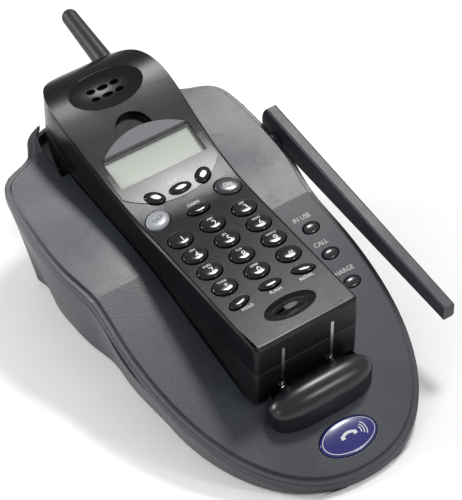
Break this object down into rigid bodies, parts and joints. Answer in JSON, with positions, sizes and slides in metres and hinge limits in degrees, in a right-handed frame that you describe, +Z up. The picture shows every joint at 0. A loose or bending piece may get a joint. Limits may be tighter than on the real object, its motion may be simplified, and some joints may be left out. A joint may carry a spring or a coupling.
{
  "type": "cordless phone with base",
  "caption": "Cordless telephone handset lying in a sloped oval desk base, with a folding side antenna, sprung charge contacts, a display and a digit keypad.",
  "frame": {"origin": "on the desk plane, on the base's plane of symmetry, under the middle of the digit keys", "axes": "+Z up, +Y from the rounded nose towards the stub antenna, +X towards the folding antenna"},
  "size_m": [0.1424, 0.2574, 0.0983],
  "materials": {
    "charcoal_plastic": "fine moulded texture, charcoal",
    "grey_plastic": "fine moulded texture, charcoal grey",
    "black_plastic": "fine moulded texture, near black",
    "satin_block": "satin moulded",
    "foot_rubber": "soft rubber",
    "steel": "plated",
    "contact_metal": "plated spring metal",
    "blue_badge": "glossy domed",
    "board_green": "printed circuit board",
    "lens_smoke": "dark light window",
    "display_clear": "clear window",
    "display_glass": "reflective liquid crystal display",
    "hood_grey": "fine texture, grey",
    "panel_dark": "smooth satin",
    "battery_wrap": "shrink wrap",
    "key_gloss": "glossy black",
    "key_silver": "silver grey"
  },
  "bodies": {
    "base": {"upper_housing": "charcoal_plastic", "lower_housing": "grey_plastic", "rubber_feet": "foot_rubber", "base_screws": "steel", "charge_block": "satin_block", "front_badge": "blue_badge", "indicator_board": "board_green", "indicator_leds": "lens_smoke", "base_circuit_board": "board_green", "radio_shield_can": "steel", "base_chips": "black_plastic", "line_jack": "black_plastic", "power_jack": "black_plastic", "antenna_hinge_pin": "steel", "indicator_lens_line": "lens_smoke", "indicator_lens_call": "lens_smoke", "indicator_lens_charge": "lens_smoke"},
    "folding_antenna": {"base_antenna_blade": "charcoal_plastic", "base_antenna_wire": "contact_metal"},
    "contact_left": {"charge_contact_left": "contact_metal"},
    "contact_right": {"charge_contact_right": "contact_metal"},
    "handset": {"battery_door": "charcoal_plastic", "battery_pack": "battery_wrap", "display_hood": "hood_grey", "display_module": "display_glass", "display_panel": "panel_dark", "display_window": "display_clear", "earpiece": "black_plastic", "front_shell": "black_plastic", "handset_charge_strips": "contact_metal", "handset_circuit_board": "board_green", "handset_screws": "steel", "keypad_mat": "foot_rubber", "microphone": "black_plastic", "rear_shell": "black_plastic", "ringer": "black_plastic", "stub_antenna": "black_plastic"},
    "button_0": {"key_0": "key_gloss"},
    "button_1": {"key_1": "key_gloss"},
    "button_2": {"key_2": "key_gloss"},
    "button_3": {"key_3": "key_gloss"},
    "button_4": {"key_4": "key_gloss"},
    "button_5": {"key_5": "key_gloss"},
    "button_6": {"key_6": "key_gloss"},
    "button_7": {"key_7": "key_gloss"},
    "button_8": {"key_8": "key_gloss"},
    "button_9": {"key_9": "key_gloss"},
    "button_channel": {"key_channel": "key_gloss"},
    "button_down": {"key_down": "key_gloss"},
    "button_function_left": {"key_function_left": "key_gloss"},
    "button_function_middle": {"key_function_middle": "key_gloss"},
    "button_function_right": {"key_function_right": "key_gloss"},
    "button_hash": {"key_hash": "key_gloss"},
    "button_off": {"key_off": "key_gloss"},
    "button_select": {"key_select": "key_gloss"},
    "button_star": {"key_star": "key_gloss"},
    "button_talk": {"key_talk": "key_silver"},
    "button_up": {"key_up": "key_gloss"}
  },
  "joints": [
    {"name": "antenna_fold", "type": "hinge", "parent": "base", "child": "folding_antenna", "pos_m": [0.0716, 0.058, 0.054], "axis": [-1, 0, 0], "range_deg": [0, 100]},
    {"name": "handset_lift", "type": "slide", "parent": "base", "child": "handset", "axis": [0, 0, 1], "range_m": [0, 0.06]},
    {"name": "contact_left_press", "type": "slide", "parent": "base", "child": "contact_left", "axis": [0, -1, 0], "range_m": [0, 0.0012], "stiffness_N_per_m": 300},
    {"name": "contact_right_press", "type": "slide", "parent": "base", "child": "contact_right", "axis": [0, -1, 0], "range_m": [0, 0.0012], "stiffness_N_per_m": 300},
    {"name": "press_0", "type": "slide", "parent": "handset", "child": "button_0", "axis": [0, 0.1132, -0.9936], "range_m": [0, 0.0009], "stiffness_N_per_m": 350},
    {"name": "press_1", "type": "slide", "parent": "handset", "child": "button_1", "axis": [0, 0.1132, -0.9936], "range_m": [0, 0.0009], "stiffness_N_per_m": 350},
    {"name": "press_2", "type": "slide", "parent": "handset", "child": "button_2", "axis": [0, 0.1132, -0.9936], "range_m": [0, 0.0009], "stiffness_N_per_m": 350},
    {"name": "press_3", "type": "slide", "parent": "handset", "child": "button_3", "axis": [0, 0.1132, -0.9936], "range_m": [0, 0.0009], "stiffness_N_per_m": 350},
    {"name": "press_4", "type": "slide", "parent": "handset", "child": "button_4", "axis": [0, 0.1132, -0.9936], "range_m": [0, 0.0009], "stiffness_N_per_m": 350},
    {"name": "press_5", "type": "slide", "parent": "handset", "child": "button_5", "axis": [0, 0.1132, -0.9936], "range_m": [0, 0.0009], "stiffness_N_per_m": 350},
    {"name": "press_6", "type": "slide", "parent": "handset", "child": "button_6", "axis": [0, 0.1132, -0.9936], "range_m": [0, 0.0009], "stiffness_N_per_m": 350},
    {"name": "press_7", "type": "slide", "parent": "handset", "child": "button_7", "axis": [0, 0.1132, -0.9936], "range_m": [0, 0.0009], "stiffness_N_per_m": 350},
    {"name": "press_8", "type": "slide", "parent": "handset", "child": "button_8", "axis": [0, 0.1132, -0.9936], "range_m": [0, 0.0009], "stiffness_N_per_m": 350},
    {"name": "press_9", "type": "slide", "parent": "handset", "child": "button_9", "axis": [0, 0.1132, -0.9936], "range_m": [0, 0.0009], "stiffness_N_per_m": 350},
    {"name": "press_channel", "type": "slide", "parent": "handset", "child": "button_channel", "axis": [0, 0.1132, -0.9936], "range_m": [0, 0.0009], "stiffness_N_per_m": 350},
    {"name": "press_down", "type": "slide", "parent": "handset", "child": "button_down", "axis": [0, 0.2464, -0.9692], "range_m": [0, 0.0009], "stiffness_N_per_m": 350},
    {"name": "press_function_left", "type": "slide", "parent": "handset", "child": "button_function_left", "axis": [0, 0.1132, -0.9936], "range_m": [0, 0.0009], "stiffness_N_per_m": 350},
    {"name": "press_function_middle", "type": "slide", "parent": "handset", "child": "button_function_middle", "axis": [0, 0.1132, -0.9936], "range_m": [0, 0.0009], "stiffness_N_per_m": 350},
    {"name": "press_function_right", "type": "slide", "parent": "handset", "child": "button_function_right", "axis": [0, 0.1132, -0.9936], "range_m": [0, 0.0009], "stiffness_N_per_m": 350},
    {"name": "press_hash", "type": "slide", "parent": "handset", "child": "button_hash", "axis": [0, 0.1132, -0.9936], "range_m": [0, 0.0009], "stiffness_N_per_m": 350},
    {"name": "press_off", "type": "slide", "parent": "handset", "child": "button_off", "axis": [0, 0.1553, -0.9879], "range_m": [0, 0.0009], "stiffness_N_per_m": 350},
    {"name": "press_select", "type": "slide", "parent": "handset", "child": "button_select", "axis": [0, 0.2397, -0.9708], "range_m": [0, 0.0009], "stiffness_N_per_m": 350},
    {"name": "press_star", "type": "slide", "parent": "handset", "child": "button_star", "axis": [0, 0.1132, -0.9936], "range_m": [0, 0.0009], "stiffness_N_per_m": 350},
    {"name": "press_talk", "type": "slide", "parent": "handset", "child": "button_talk", "axis": [0, 0.1553, -0.9879], "range_m": [0, 0.0009], "stiffness_N_per_m": 350},
    {"name": "press_up", "type": "slide", "parent": "handset", "child": "button_up", "axis": [0, 0.2464, -0.9692], "range_m": [0, 0.0009], "stiffness_N_per_m": 350}
  ]
}
